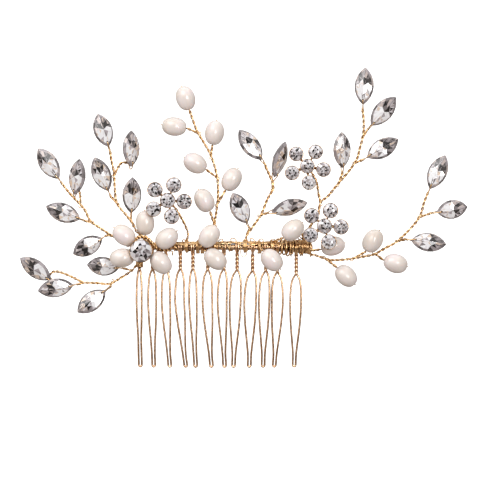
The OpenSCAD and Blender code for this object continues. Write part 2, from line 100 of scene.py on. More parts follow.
# Pearls: middle, angle of the drilled hole from +X, and which end of it the wire comes from
PETALS = [
    ((-29, -3.2, 3.7), -37, 1), ((-22.6, -1.4, 7.5), 92, -1), ((-15.8, -3.4, 2.7), 37, -1),
    ((-17.6, -3.8, -4.8), -48, -1), ((-29.6, -3.2, -3.3), 5, 1)]
SPINE_PEARLS = [
    ((-2.7, -4.7, 3.4), 53, -1), ((-0.8, -4.8, -3.7), -39, -1), ((16.6, -4, -4), -46, -1),
    ((23.1, -3.2, 5.3), 38, -1), ((35.7, 2.4, 0.3), 15, -1)]
SPRAY_PEARLS = [
    ((-10.1, 1.2, 46.2), 108, -1), ((-13.6, 0.2, 37.4), -8, 1), ((-1.1, 1.4, 35.5), 80, -1),
    ((-7.1, 0.4, 26), -30, 1), ((4.2, 1.6, 21), 60, -1), ((-4.3, 0.4, 14.5), -62, 1)]
RIGHT_PEARLS = [
    ((48.1, 3.2, 1.9), 57, -1), ((55.3, 4.4, -5.1), -15, -1), ((39.8, 2.8, -9), -43, -1)]

# Crystals: drilled end, far tip, turn about the length
LEAVES = {
    "lower_left": [
        ((-52.1, 3.4, -10.1), (-61.7, 4, -3.4), -22), ((-45, 2.6, -11.8), (-56.1, 2.4, -13.6), -12),
        ((-35, 2.4, -13.5), (-43.7, 1.6, -20.3), 8), ((-30.7, 1.8, -6.5), (-40.8, 2.4, -5.4), -8)],
    "middle_left": [
        ((-49.6, 3.2, 21.2), (-56.1, 4.2, 30.8), -10), ((-44.6, 2.8, 16.3), (-43.1, 2, 27.4), -30),
        ((-42.8, 2, 8.7), (-53.6, 3, 12.7), 6), ((-36, 1.4, 2.8), (-45, 1, -2.2), -14)],
    "upper_left": [
        ((-34.1, 2.6, 31.2), (-37.5, 3.4, 41.5), 10), ((-27.1, 2.2, 25), (-27, 3, 36.3), 35),
        ((-34.1, 2.2, 17.4), (-38.4, 1.4, 27.9), -8), ((-27, 1, 10.5), (-26.5, 0.4, 21.7), 12)],
    "center": [
        ((9, -0.4, 7.3), (4.5, -1.4, 16.8), 12), ((13.5, 0.8, 27.1), (6.5, 1.6, 36.4), 22),
        ((17.4, 0.8, 21.7), (20.9, 0.4, 32.7), 55), ((16.6, 0.4, 10.9), (27.7, 1, 13.8), 38)],
    "upper_right": [
        ((45.1, 3.4, 44.3), (45.9, 4, 56), -8), ((47.6, 3, 37.8), (55.2, 2, 46.7), 8),
        ((46.3, 2.6, 27.9), (56.1, 3.4, 33.6), -10), ((38.6, 2, 24.6), (38.4, 1, 35.7), 26)],
    "lower_right": [
        ((66, 5, 18.1), (71, 6, 28.7), -8), ((68.2, 4.8, 10.9), (77.8, 5.4, 12.6), 10),
        ((60.1, 4.4, 2.2), (71.1, 4, 0.8), -14)]}

# Blossoms: middle, angle of the first petal
BLOSSOMS = {
    "left_blossom": ((-15.5, -4.8, 14.4), -4, "left_blossom"),
    "upper_blossom": ((27.6, -2.6, 25), -12, "upper_right_sprig"),
    "right_blossom": ((32.9, -3.2, 6.5), -3, "comb")}


# ---------------------------------------------------------------- curves
def unit(v):
    """The vector at length one."""
    v = np.asarray(v, float)
    return v / np.linalg.norm(v)


def bow_y(x):
    """Depth of the bowed spine's axis."""
    return BOW_R - math.sqrt(BOW_R * BOW_R - x * x)


def flat_dir(angle):
    """Direction across the front, at the angle from +X."""
    return np.array([math.cos(math.radians(angle)), 0, math.sin(math.radians(angle))])


def round_spine(x, r, angle):
    """Point beside the spine: angle is 0 in front, 90 above, 180 behind."""
    a = math.radians(angle)
    out = r * math.cos(a)
    bow = math.asin(x / BOW_R)
    return np.array([x + out * math.sin(bow), bow_y(x) - out * math.cos(bow), r * math.sin(a)])


def smooth(points, n=12):
    """Catmull-Rom curve through the points."""
    p = np.array(points, float)
    p = np.vstack([p[:1], p, p[-1:]])
    t = np.linspace(0, 1, n, endpoint=False)[:, None]
    parts = [
        0.5 * (2 * b + (c - a) * t + (2 * a - 5 * b + 4 * c - d) * t**2
               + (3 * b - a - 3 * c + d) * t**3)
        for a, b, c, d in zip(p, p[1:], p[2:], p[3:])]
    return np.vstack(parts + [p[-1:]])


def lengths(path):
    """Distance along the path to each of its points."""
    steps = np.linalg.norm(np.diff(path, axis=0), axis=1)
    return np.concatenate([[0], np.cumsum(steps)])


def even(path, step):
    """The same line with its points a step apart."""
    s = lengths(path)
    at = np.linspace(0, s[-1], max(2, int(round(s[-1] / step)) + 1))
    return np.stack([np.interp(at, s, path[:, k]) for k in range(3)], axis=1)


def ease(path, times):
    """Rounds off corners; the ends stay."""
    path = np.array(path, float)
    for _ in range(times):
        path[1:-1] = (path[:-2] + 2 * path[1:-1] + path[2:]) / 4
    return path


def sides_of(path):
    """Directions along the path and two side vectors that don't twist round it."""
    t = np.gradient(path, axis=0)
    t /= np.linalg.norm(t, axis=1)[:, None]
    side = np.zeros_like(t)
    s = np.array((0, 1, 0.13), float)
    for i, d in enumerate(t):
        s = unit(s - d * s.dot(d))
        side[i] = s
    return t, side, np.cross(t, side)


def jitter(n, step, size, seed):
    """Slow random drift along n points."""
    rng = np.random.default_rng(seed)
    knots = rng.normal(0, size, int(n / step) + 3)
    return np.interp(np.arange(n), np.arange(len(knots)) * step, knots)


# ---------------------------------------------------------------- meshes
class Shape:
    """Faces of one piece, with a value of painted facet light per face, in millimetres."""

    def __init__(self):
        self.verts, self.faces, self.tones, self.rounded = [], [], [], []

    def add(self, verts, faces, tones=0.5, rounded=True):
        start = len(self.verts)
        self.verts += [tuple(v) for v in verts]
        self.faces += [tuple(start + i for i in f) for f in faces]
        self.tones += list(tones) if isinstance(tones, (list, tuple)) else [tones] * len(faces)
        self.rounded += [rounded] * len(faces)

    def tube(self, path, radius, sides):
        """Round tube along the path, closed at both ends."""
        path = np.asarray(path, float)
        n = len(path)
        _, u, v = sides_of(path)
        r = np.broadcast_to(radius, n)[:, None]
        rings = [path + r * (math.cos(a) * u + math.sin(a) * v)
                 for a in np.linspace(0, 2 * math.pi, sides, endpoint=False)]
        faces = [(i * sides + k, i * sides + (k + 1) % sides,
                  (i + 1) * sides + (k + 1) % sides, (i + 1) * sides + k)
                 for i in range(n - 1) for k in range(sides)]
        faces.append(tuple(range(sides - 1, -1, -1)))
        faces.append(tuple((n - 1) * sides + k for k in range(sides)))
        self.add(np.stack(rings, 1).reshape(-1, 3), faces)

    def wire(self, path, r=FINE, step=0.22):
        """Single fine wire with rounded ends."""
        path = even(np.asarray(path, float), step)
        radius = np.full(len(path), r)
        radius[0] = radius[-1] = 0.55 * r
        self.tube(path, radius, 7)

    def revolve(self, profile, place, steps, wobble=None):
        """Surface of revolution. profile is a closed outline of (radius, along)."""
        verts, n = [], len(profile)
        for j in range(steps):
            a = 2 * math.pi * j / steps
            for k, (r, s) in enumerate(profile):
                grow = 1 if wobble is None else wobble(a, s)
                verts.append(place((r * grow * math.cos(a), r * grow * math.sin(a), s)))
        faces = []
        for j in range(steps):
            q = (j + 1) % steps
            for k in range(n):
                m = (k + 1) % n
                faces.append((j * n + k, q * n + k, q * n + m, j * n + m))
        self.add(verts, faces)

    def build(self, name, material, body, slot, *nodes, weld=0.0):
        """The piece, riding its body and standing for the CAD nodes."""
        mesh = bpy.data.meshes.new(name)
        mesh.from_pydata([tuple(c * MM for c in v) for v in self.verts], [], self.faces)
        # Per-face painted facet light, read by the crystals' shader as reflection and shade
        mesh.attributes.new("tone", "FLOAT", "FACE").data.foreach_set("value", self.tones)
        mesh.polygons.foreach_set("use_smooth", self.rounded)
        if weld:
            bm = bmesh.new()
            bm.from_mesh(mesh)
            bmesh.ops.delete(bm, geom=[v for v in bm.verts if not v.link_faces], context="VERTS")
            bmesh.ops.remove_doubles(bm, verts=bm.verts, dist=weld * MM)
            bmesh.ops.recalc_face_normals(bm, faces=bm.faces)
            bm.to_mesh(mesh)
            bm.free()
        mesh.update()
        obj = bpy.data.objects.new(name, mesh)
        bpy.context.scene.collection.objects.link(obj)
        obj.data.materials.append(material)
        if body:
            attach(obj, body)
        if nodes:
            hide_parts(*nodes)
        return obj


def aim(origin, direction, turn=0):
    """Function from local to part places: local +Z along the direction, +Y to the back."""
    z = unit(direction)
    x = unit(np.cross([0, 1, 0], z))
    y = np.cross(z, x)
    c, s = math.cos(math.radians(turn)), math.sin(math.radians(turn))
    axes = np.stack([c * x + s * y, c * y - s * x, z])
    return lambda p: np.asarray(origin, float) + np.asarray(p, float) @ axes


def twisted(shape, path, phase=0.0, seed=1, gap=0.23, r=FINE, pitch=TWIST, part=(0, TO_THE_END)):
    """Pair of fine wires twisted about a path; part picks a stretch of it, in mm along."""
    path = even(np.asarray(path, float), 0.16)
    s = lengths(path)
    _, u, v = sides_of(path)
    turn = 2 * math.pi * s / pitch + phase + jitter(len(s), 14, 0.5, seed)
    spread = gap * (1 + jitter(len(s), 9, 0.09, seed + 50))
    keep = (s >= part[0] - 1e-6) & (s <= part[1] + 1e-6)
    for half in (0, math.pi):
        offset = np.cos(turn + half)[:, None] * u + np.sin(turn + half)[:, None] * v
        strand = path + spread[:, None] * offset
        shape.tube(strand[keep], r, 6)


# ---------------------------------------------------------------- materials
# Sockets of a colour Mix node
MIX_A, MIX_B, MIX_OUT = 6, 7, 2


def nodes_of(name):
    """New material, its node tree and its surface shader."""
    mat = bpy.data.materials.new(name)
    mat.use_nodes = True
    tree = mat.node_tree
    return mat, tree, tree.nodes["Principled BSDF"]


def node(tree, kind, **values):
    """New node with its settings and its inputs' values."""
    made = tree.nodes.new(kind)
    for key, value in values.items():
        if hasattr(made, key):
            setattr(made, key, value)
        else:
            made.inputs[key.replace("_", " ")].default_value = value
    return made


def noise(tree, scale, detail):
    """Noise in the piece's own coordinates; scale counts features per metre."""
    where = node(tree, "ShaderNodeTexCoord")
    mapping = node(tree, "ShaderNodeMapping")
    mapping.inputs["Scale"].default_value = (scale, scale, scale)
    made = node(tree, "ShaderNodeTexNoise", Scale=1.0, Detail=detail)
    tree.links.new(where.outputs["Object"], mapping.inputs["Vector"])
    tree.links.new(mapping.outputs[0], made.inputs["Vector"])
    return made


def ramp(tree, value, stops):
    """Colour ramp over a value; stops are (place, colour)."""
    made = node(tree, "ShaderNodeValToRGB")
    bands = made.color_ramp.elements
    while len(bands) < len(stops):
        bands.new(0.5)
    for band, (place, colour) in zip(bands, stops):
        band.position = place
        band.color = (*colour, 1) if len(colour) == 3 else colour
    tree.links.new(value, made.inputs[0])
    return made


def spread(tree, value, low, high, out_low, out_high):
    """Maps low to high onto out_low to out_high."""
    made = node(tree, "ShaderNodeMapRange")
    made.inputs["From Min"].default_value = low
    made.inputs["From Max"].default_value = high
    made.inputs["To Min"].default_value = out_low
    made.inputs["To Max"].default_value = out_high
    tree.links.new(value, made.inputs["Value"])
    return made


def bump(tree, bsdf, value, strength, distance):
    """Fine relief on the surface."""
    made = node(tree, "ShaderNodeBump", Strength=strength, Distance=distance)
    tree.links.new(value, made.inputs["Height"])
    tree.links.new(made.outputs[0], bsdf.inputs["Normal"])


def plated(name, pale, mid, deep, painted_shade, rough, grain):
    """Plated wire: its colour varies and its polish wears, and painted shade darkens the colour
    between the turns.
    """
    mat, tree, bsdf = nodes_of(name)
    bsdf.inputs["Metallic"].default_value = 1.0
    tarnish = noise(tree, 420, 4.0)
    colour = ramp(tree, tarnish.outputs["Fac"], [(0.3, deep), (0.5, mid), (0.72, pale)])
    # Painted shade: the colour is mixed towards the shade colour where ambient occlusion finds the
    # turns close together
    occlusion = node(tree, "ShaderNodeAmbientOcclusion", samples=6, Distance=0.0011)
    unshaded = spread(tree, occlusion.outputs["AO"], 0.36, 0.86, 0, 1)
    painted_shading = node(tree, "ShaderNodeMix", data_type="RGBA")
    tree.links.new(unshaded.outputs[0], painted_shading.inputs["Factor"])
    painted_shading.inputs[MIX_A].default_value = (*painted_shade, 1)
    tree.links.new(colour.outputs[0], painted_shading.inputs[MIX_B])
    tree.links.new(painted_shading.outputs[MIX_OUT], bsdf.inputs["Base Color"])
    polish = noise(tree, 900, 2.0)
    worn = spread(tree, polish.outputs["Fac"], 0.3, 0.7, rough * 0.75, rough * 1.35)
    tree.links.new(worn.outputs[0], bsdf.inputs["Roughness"])
    drawn = noise(tree, grain, 2.0)
    bump(tree, bsdf, drawn.outputs["Fac"], 0.25, 0.00005)
    return mat


def cut_glass(name, clear, foil, tones):
    """Cut crystal with a foiled back: painted reflection and shade, one grey for each facet, as the
    cut throws them.
    """
    mat, tree, bsdf = nodes_of(name)
    # Each facet's painted light value picks a grey from the ramp, as painted reflection and shade
    facet = node(tree, "ShaderNodeAttribute", attribute_name="tone")
    colour = ramp(tree, facet.outputs["Fac"], tones)
    tree.links.new(colour.outputs[0], bsdf.inputs["Base Color"])
    bsdf.inputs["Transmission Weight"].default_value = clear
    bsdf.inputs["Metallic"].default_value = foil
    bsdf.inputs["IOR"].default_value = 1.56
    bsdf.inputs["Coat Weight"].default_value = 0.4
    bsdf.inputs["Coat Roughness"].default_value = 0.02
    wear = noise(tree, 1500, 3.0)
    scuff = spread(tree, wear.outputs["Fac"], 0.4, 0.75, 0.05, 0.12)
    tree.links.new(scuff.outputs[0], bsdf.inputs["Roughness"])
    bump(tree, bsdf, wear.outputs["Fac"], 0.04, 0.00002)
    return mat


def nacre(name):
    """Rice pearl: ivory with a pink and a grey-green cast, fine growth rings, soft lustre."""
    mat, tree, bsdf = nodes_of(name)
    cast = noise(tree, 150, 3.0)
    colour = ramp(tree, cast.outputs["Fac"], [
        (0.3, (0.68, 0.60, 0.53)), (0.5, (0.76, 0.69, 0.65)), (0.7, (0.80, 0.71, 0.71))])
    tree.links.new(colour.outputs[0], bsdf.inputs["Base Color"])
    bsdf.inputs["Roughness"].default_value = 0.3
    bsdf.inputs["Sheen Weight"].default_value = 0.25
    bsdf.inputs["Sheen Roughness"].default_value = 0.35
    bsdf.inputs["Sheen Tint"].default_value = (1.0, 0.80, 0.64, 1)
    bsdf.inputs["Subsurface Weight"].default_value = 0.25
    bsdf.inputs["Subsurface Radius"].default_value = (0.8, 0.6, 0.5)
    bsdf.inputs["Subsurface Scale"].default_value = 0.001
    bsdf.inputs["Coat Weight"].default_value = 0.6
    bsdf.inputs["Coat Roughness"].default_value = 0.1
    growth = noise(tree, 700, 2.0)
    bump(tree, bsdf, growth.outputs["Fac"], 0.15, 0.00008)
    return mat


# The fourth colour of each plated finish is the painted shade colour for its crevices
gold = plated(
    "fine_gold_wire", pale=(0.95, 0.70, 0.42), mid=(0.86, 0.57, 0.29), deep=(0.66, 0.39, 0.17),
    painted_shade=(0.30, 0.13, 0.04), rough=0.24, grain=2600)
rose = plated(
    "tooth_wire", pale=(0.94, 0.67, 0.45), mid=(0.84, 0.55, 0.34), deep=(0.64, 0.38, 0.21),
    painted_shade=(0.16, 0.08, 0.04), rough=0.25, grain=1800)
cup_gold = plated(
    "cup_gold", pale=(0.85, 0.55, 0.28), mid=(0.72, 0.42, 0.18), deep=(0.50, 0.28, 0.12),
    painted_shade=(0.2, 0.1, 0.04), rough=0.2, grain=2200)
pearl_nacre = nacre("pearl_nacre")
# Painted facet light: reflections and shade from black, through greys and a peach cast, to white
PAINTED_FACET_LIGHTS = [
    (0.0, (0.008, 0.007, 0.007)), (0.15, (0.05, 0.042, 0.04)), (0.35, (0.24, 0.21, 0.215)),
    (0.55, (0.48, 0.43, 0.45)), (0.7, (0.78, 0.62, 0.50)), (0.85, (0.82, 0.79, 0.83)),
    (1.0, (0.95, 0.95, 0.97))]
leaf_glass = cut_glass("leaf_crystal", 0.2, 0.06, PAINTED_FACET_LIGHTS)
stone_glass = cut_glass("stone_crystal", 0.1, 0.3, PAINTED_FACET_LIGHTS)


# ---------------------------------------------------------------- teeth
LEG_GAP = [0, 0.66, 0.92, 1, 0.84, 0.55, 0.3, 0]  # Half gap down the legs, as parts of the widest
LEG_DROP = [0, 0.05, 0.15, 0.33, 0.54, 0.72, 0.88, 1]  # How far down each of those is
STRAND = 0.36  # The rope's two strands, from its axis
ROPE_PITCH = 2.5


def tooth(index):
    """One hairpin: wound over the spine, twisted into a rope, then open legs and a round tip."""
    top_x, wide_x, tip_x, gap, top_z = TEETH[index]
    y0 = bow_y(top_x)
    tip = TOOTH_WIRE / 2 + 0.12

    def leg(k, way):
        z = top_z + (TIP_Z + 0.9 - top_z) * LEG_DROP[k]
        x = top_x + (wide_x - top_x) * min(1, k / 3) + (tip_x - wide_x) * max(0, (k - 3) / 4)
        half = 0.38 if k == 0 else max(tip, gap * LEG_GAP[k])
        return (x + way * half, y0 + TOOTH_CURVE * ((z - top_z) / (TIP_Z - top_z)) ** 2, z)

    def rope(way):
        """One strand, from over the spine down to the leg."""
        wrap = [round_spine(top_x + way * 0.36, SPINE_R + 0.37, a) for a in range(215, -80, -12)]
        z = np.arange(-1.75, top_z, -0.16)
        turn = 2 * math.pi * (z - top_z) / ROPE_PITCH + (0 if way > 0 else math.pi)
        down = np.stack([top_x + STRAND * np.cos(turn), y0 + STRAND * np.sin(turn), z], 1)
        return ease(np.vstack([wrap, down]), 3)

    middle = [leg(k, -1) for k in range(8)]
    cx, cy, cz = (leg(7, -1)[0] + leg(7, 1)[0]) / 2, leg(7, 1)[1], leg(7, 1)[2]
    middle += [(cx + tip * math.cos(a), cy, cz - 1.6 * tip * math.sin(a))
               for a in np.radians([150, 120, 90, 60, 30])]
    middle += [leg(k, 1) for k in range(7, -1, -1)]
    path = np.vstack([rope(-1), smooth(middle, 6)[1:-1], rope(1)[::-1]])
    shape = Shape()
    shape.tube(ease(even(path, 0.22), 2), TOOTH_WIRE / 2, 10)
    shape.build(f"tooth_{index + 1}", rose, "comb", "tooth_wire", f"comb_tooth_{index + 1}")


for index in range(12):
    tooth(index)

spine = frame["nodes"]["comb_spine"]
spine.data.materials.clear()
spine.data.materials.append(rose)


# ---------------------------------------------------------------- windings round the spine
def winding(shape, x0, x1, turns, r, start, seed, wobble=0.12, thick=FINE):
    """Fine wire wound round the spine from x0 to x1."""
    n = max(12, int(abs(turns) * 22 + abs(x1 - x0) * 3))
    s = np.linspace(0, 1, n)
    drift = jitter(n, 7, wobble, seed)
    angle = start + 360 * turns * s + jitter(n, 9, 70 * wobble, seed + 1)
    x = x0 + (x1 - x0) * s + jitter(n, 5, 0.6 * wobble, seed + 2)
    path = [round_spine(a, max(SPINE_R + thick, r + d), b) for a, d, b in zip(x, drift, angle)]
    shape.wire(ease(path, 2), thick)


def laid_strand(shape, x0, x1, seed, wraps, low, high):
    """Fine wire laid along the spine's upper front, with a few full turns round it."""
    rng = random.Random(seed)
    n = max(2, int(abs(x1 - x0) / 3.8))
    stops = [(x0 + (x1 - x0) * (k + rng.uniform(-0.3, 0.3)) / n,
              rng.uniform(low, high), rng.uniform(1.2, 1.75)) for k in range(n + 1)]
    x, angle, r = (np.array([p[k] for p in stops]) for k in range(3))
    for _ in range(wraps):
        angle[rng.randrange(1, len(angle)):] += rng.choice((-360, 360))
    s = np.linspace(0, n, 40 * n)
    x, angle, r = (np.interp(s, np.arange(n + 1), row) for row in (x, angle, r))
    shape.wire(ease([round_spine(*place) for place in zip(x, r, angle)], 60))


def small_loop(shape, x, z, r, lean, seed):
    """Eye of slack wire that stands up from the windings."""
    rng = random.Random(seed)
    n = 26
    turn = np.radians(np.linspace(-70, 250, n))
    y = bow_y(x) - 0.7
    shape.wire([(x + r * math.cos(a) + lean * 0.3 * math.sin(a),
                 y + rng.uniform(0, 0.05) + 0.5 * k / n,
                 z + r * math.sin(a)) for k, a in enumerate(turn)], TIE)


# Lump at the right end, as windings: from, to, turns, radius and first angle
LUMP = [
    (17.2, 28.4, 11, 1.5, 0), (18.2, 24.6, -5, 2.0, 90), (19.0, 23.6, 4, 2.4, 200),
    (24.0, 28.5, 4, 1.95, 120), (20.8, 27.0, -4, 2.35, 30)]
# Cut ends under the windings: place, distance from the spine's axis, length
CUT_ENDS = [
    (22.3, 1.9, 1.3), (25.1, 1.9, 1.2), (25.9, 1.9, 1.0), (28.2, 1.9, 1.4), (-14.2, 1.2, 1.6)]
# Loops that stand above the windings: place, height, radius
LOOPS = [
    (0.8, 1.9, 0.6), (4.8, 2.0, 0.8), (8.4, 1.8, 0.65), (10.6, 2.1, 0.6), (13.2, 1.8, 0.75),
    (17.3, 1.9, 0.6), (19.9, 2.3, 0.6), (25.2, 2.9, 0.5), (-6.0, 1.8, 0.6), (-10.4, 1.7, 0.6)]
# Slack wire that hangs between two teeth: place, distance from its first point's depth, height
HANGING = [
    (6.8, 0, 1.2), (7.0, -0.2, -0.4), (7.1, 0, -2.2), (7.7, 0, -3.1), (8.6, 0, -2.6),
    (9.0, 0, -1.2), (8.6, -0.1, 0.6)]


def binding():
    """The fine wire bound along and round the spine, with its lump, cut ends and loops."""
    shape = Shape()
    for k in range(7):
        laid_strand(shape, -26.5 + 0.4 * k, 27.5 - 0.5 * k, 100 + k, 2, 12, 118)
    for k, start in enumerate((-19, -15, -14, -9, -6, 12, 15)):
        laid_strand(shape, start, start + 11, 120 + k, 1, -45, 100)
    edges = [t[0] for t in TEETH]
    for i, (a, b) in enumerate(zip(edges[:-2], edges[1:])):
        at = (a + b) / 2 + random.uniform(-0.7, 0.7)
        winding(shape, at - 0.5, at + 0.5, 1.3, 1.3, 60 * i, 200 + i, 0.05)
    for k, (x0, x1, turns, r, start) in enumerate(LUMP):
        winding(shape, x0, x1, turns, r, start, 300 + k, 0.2, 0.25)
    for k, (x, r, length) in enumerate(CUT_ENDS):
        top = round_spine(x, r, -65)
        elbow = top + (0.1 + 0.2 * (k % 2), 0.1, -0.5 * length)
        shape.wire([top, elbow, top + (0.25, 0.2, -length)])
    for k, (x, z, r) in enumerate(LOOPS):
        small_loop(shape, x, z, r, (-1) ** k, k)
    depth = bow_y(7.7) - 1.2
    shape.wire(smooth([(x, depth + y, z) for x, y, z in HANGING], 6), SLACK)
    shape.build("binding_strands", gold, "comb", "gold_wire", "binding_wire")


binding()


def wound_end(shape, x, angle):
    """Two turns round the binding that leave it at the angle, and hug it on the other side."""
    s = np.linspace(0, 1, 60)
    turn = angle - 360 * 2.3 * (1 - s)
    along = x - 0.4 + 0.8 * s
    hug = 0.3 * (TAIL_R - 1.25) * (1 - np.cos(np.radians(turn - angle)))
    r = TAIL_R - hug + 0.06 * np.sin(7 * s)
    shape.wire(ease([round_spine(*place) for place in zip(along, r, turn)], 1))


# ---------------------------------------------------------------- sprigs
def leaf_end(leaf):
    """Where a stem stops, before the crystal's drilled end."""
    return np.array(leaf[0]) - LEAF_LEAD * unit(np.subtract(leaf[1], leaf[0]))


def behind_hole(leaf):
    """Where a stem stops that comes up behind its crystal."""
    return aim(leaf[0], np.subtract(leaf[1], leaf[0]), leaf[2])((0, TIE_BACK, HOLE_S))


def inner_end(pearl):
    """Where a stem stops, at the end of the pearl that its wire comes from."""
    return np.array(pearl[0]) + pearl[2] * (PEARL_LEN / 2 + 0.38) * flat_dir(pearl[1])


def blossom_back(name, dx, dz):
    """Where a stem meets the back of a blossom's middle cup."""
    x, y, z = BLOSSOMS[name][0]
    return (x + dx, y + 1.8, z + dz)


L = LEAVES
# Each sprig: its body, its joint, the wire from the comb, its main stem and its branches
SPRIGS = {
    "lower_left": ("lower_left_sprig", [(-25.4, 2, -5.6), (-26.2, 1.8, -6.6)], [
        [(-26.8, 1.8, -7.3), (-29.8, 1.8, -9.3), (-33.8, 2, -11.4), (-37.5, 2.2, -11.2),
         (-41.9, 2.4, -11.1), leaf_end(L["lower_left"][1])],
        [(-41.9, 2.4, -11.1), (-45.7, 3.2, -9.2), (-49.4, 4.3, -7.8), (-51.4, 5.2, -7.7),
         behind_hole(L["lower_left"][0])],
        [(-33, 2, -11), leaf_end(L["lower_left"][2])],
        [(-26.8, 1.8, -7.3), leaf_end(L["lower_left"][3])]]),
    "middle_left": ("middle_left_sprig", [
        round_spine(-26.3, TAIL_R, 80), (-28.4, 1.6, 2.8), (-30.6, 1.3, 2.9), (-32.2, 1.2, 3.2)], [
        [(-32.9, 1.2, 3.5), (-36.6, 1.4, 5.9), (-39.7, 1.6, 8.1), (-41.2, 1.9, 11.2),
         (-42.9, 2.2, 13.3), (-45.9, 2.6, 16.4), leaf_end(L["middle_left"][0])],
        [(-42.9, 2.2, 13.2), (-42.9, 3.3, 15.4), behind_hole(L["middle_left"][1])],
        [(-39.6, 1.6, 7.8), leaf_end(L["middle_left"][2])],
        [(-32.9, 1.2, 3.5), leaf_end(L["middle_left"][3])]]),
    "upper_left": ("upper_left_sprig", [
        round_spine(-22.4, TAIL_R, 80), (-23.8, 1.4, 3.4), (-25.4, 1.1, 5)], [
        [(-25.8, 1, 5.8), (-26.4, 0.9, 7.1), (-28.5, 1, 9.9), (-31.4, 1.4, 13.6),
         (-32.1, 1.8, 18.3), (-32.4, 2, 23.3), (-33.2, 2.2, 27), leaf_end(L["upper_left"][0])],
        [(-32.3, 2, 22.4), (-31.3, 2.4, 24.4), (-30.1, 3.3, 26.2), behind_hole(L["upper_left"][1])],
        [(-31.4, 1.4, 13.6), leaf_end(L["upper_left"][2])],
        [(-26.4, 0.9, 7.1), leaf_end(L["upper_left"][3])]]),
    "left_blossom": ("left_blossom", [round_spine(-9.7, TAIL_R, 80), (-9.4, 0.2, 3.2)], [
        [(-9.3, 0.1, 4), (-9.6, -0.2, 5.3), (-10.5, -0.8, 7.4), (-11.5, -1.6, 9.3),
         (-13.2, -2.4, 12), blossom_back("left_blossom", 0.4, -0.6)]]),
    "pearl_spray": ("pearl_spray", [
        round_spine(-0.7, TAIL_R, 70), (-1.1, 0.4, 3.4), (-1.2, 0.9, 4.4)], [
        [(-1.2, 0.9, 5), (-1, 1, 7.8), (-0.4, 1, 12), (0, 1, 17), (-0.4, 1, 22.4),
         (-2.2, 1.1, 28.4), (-4.7, 1.1, 32.9), (-6.6, 1.2, 36.2), inner_end(SPRAY_PEARLS[0])],
        [(-6.2, 1.2, 35.4), inner_end(SPRAY_PEARLS[1])],
        [(-2.2, 1.1, 28.4), inner_end(SPRAY_PEARLS[2])],
        [(-0.4, 1, 21.6), inner_end(SPRAY_PEARLS[3])],
        [(-0.2, 1, 13.4), inner_end(SPRAY_PEARLS[4])],
        [(-1.1, 1, 6.8), inner_end(SPRAY_PEARLS[5])]]),
    "center": ("center_sprig", [round_spine(8.3, TAIL_R, 80), (8.7, 0.2, 2.9)], [
        [(8.9, 0, 3.7), (10.9, 0, 6.5), (13.3, 0.2, 10), (15.2, 0.4, 14.6), (17.1, 0.6, 18.6),
         (16, 0.8, 22.2), (14.9, 0.8, 24.6), leaf_end(L["center"][1])],
        [(8.9, 0, 3.7), leaf_end(L["center"][0])],
        [(16.9, 0.6, 18.3), leaf_end(L["center"][2])],
        [(13.2, 0.2, 9.8), leaf_end(L["center"][3])]]),
    "upper_right": ("upper_right_sprig", [round_spine(26.5, TAIL_R, 80), (26.2, 2.2, 3.2)], [
        [(26.5, 2, 3.9), (29.1, 1.6, 7.1), (31, 1.4, 9.9), (31.8, 1.2, 13.8), (34.1, 1.4, 15.8),
         (36.9, 1.8, 19.2), (40.9, 2.2, 23.9), (43.2, 2.6, 27.5), (44, 2.8, 30.4), (45.2, 3, 35),
         (45.3, 3.2, 39.4), leaf_end(L["upper_right"][0])],
        [(45.2, 3, 34.6), leaf_end(L["upper_right"][1])],
        [(42.6, 2.5, 26.2), leaf_end(L["upper_right"][2])],
        [(37.4, 1.9, 19.8), leaf_end(L["upper_right"][3])],
        [(31.8, 1.2, 13.8), (31.1, 0.8, 16.9), (30.5, 0, 20.2),
         blossom_back("upper_blossom", 0.6, -0.6)]]),
    "lower_right": ("lower_right_sprig", [round_spine(28.4, TAIL_R, -70), (29.2, 3.2, -2.4)], [
        [(29.8, 3.1, -2.4), (32.2, 3, -3.2), (35, 3, -4), (39.4, 3, -3.9), (45.6, 3.2, -2.9),
         (48.7, 3.4, -2.2), (52.1, 3.6, -0.3), (55.5, 3.8, 1.6), (59.8, 4.2, 5.6), (62.9, 4.4, 9.6),
         (64.2, 4.8, 13.8), leaf_end(L["lower_right"][0])],
        [(62.9, 4.4, 9.4), leaf_end(L["lower_right"][1])],
        [(55.9, 3.8, 1.8), leaf_end(L["lower_right"][2])],
        [(42, 3, -3.6), inner_end(RIGHT_PEARLS[0])],
        [(48.9, 3.4, -2.1), inner_end(RIGHT_PEARLS[1])],
        [(33.4, 3, -3.6), inner_end(RIGHT_PEARLS[2])]])}


# Crystals whose stem comes up behind them
TIED_BEHIND = {("lower_left", 0), ("middle_left", 1), ("upper_left", 1)}
# Wire through a crystal's hole and over its edge, in the crystal's own frame from its drilled end
TIE_FROM_BEHIND = [
    (0.1, TIE_BACK, HOLE_S), (0, 1.2, HOLE_S), (0, 0.2, HOLE_S + 0.05), (0, -0.6, HOLE_S + 0.05),
    (0, -1.1, 1.3), (0, -1.12, 0.95), (0.05, -0.85, 0.2), (0.1, -0.42, -0.5), (0, 0, -0.75),
    (-0.1, 0.5, -0.5), (-0.05, 1, 0.3), (0, 1.5, 0.9), (-0.1, TIE_BACK - 0.1, 1.3)]
TIE_FROM_BELOW = [
    (0, 0.05, -1.5), (0.1, -0.42, -0.7), (0.05, -0.85, 0.2), (0, -1.12, 0.95), (0, -1.0, 1.35),
    (0, -0.4, HOLE_S + 0.05), (0, 0.4, HOLE_S + 0.05), (0, 1.0, 1.35), (0, 1.12, 0.95),
    (-0.05, 0.85, 0.2), (-0.1, 0.42, -0.7), (0, -0.05, -1.5)]


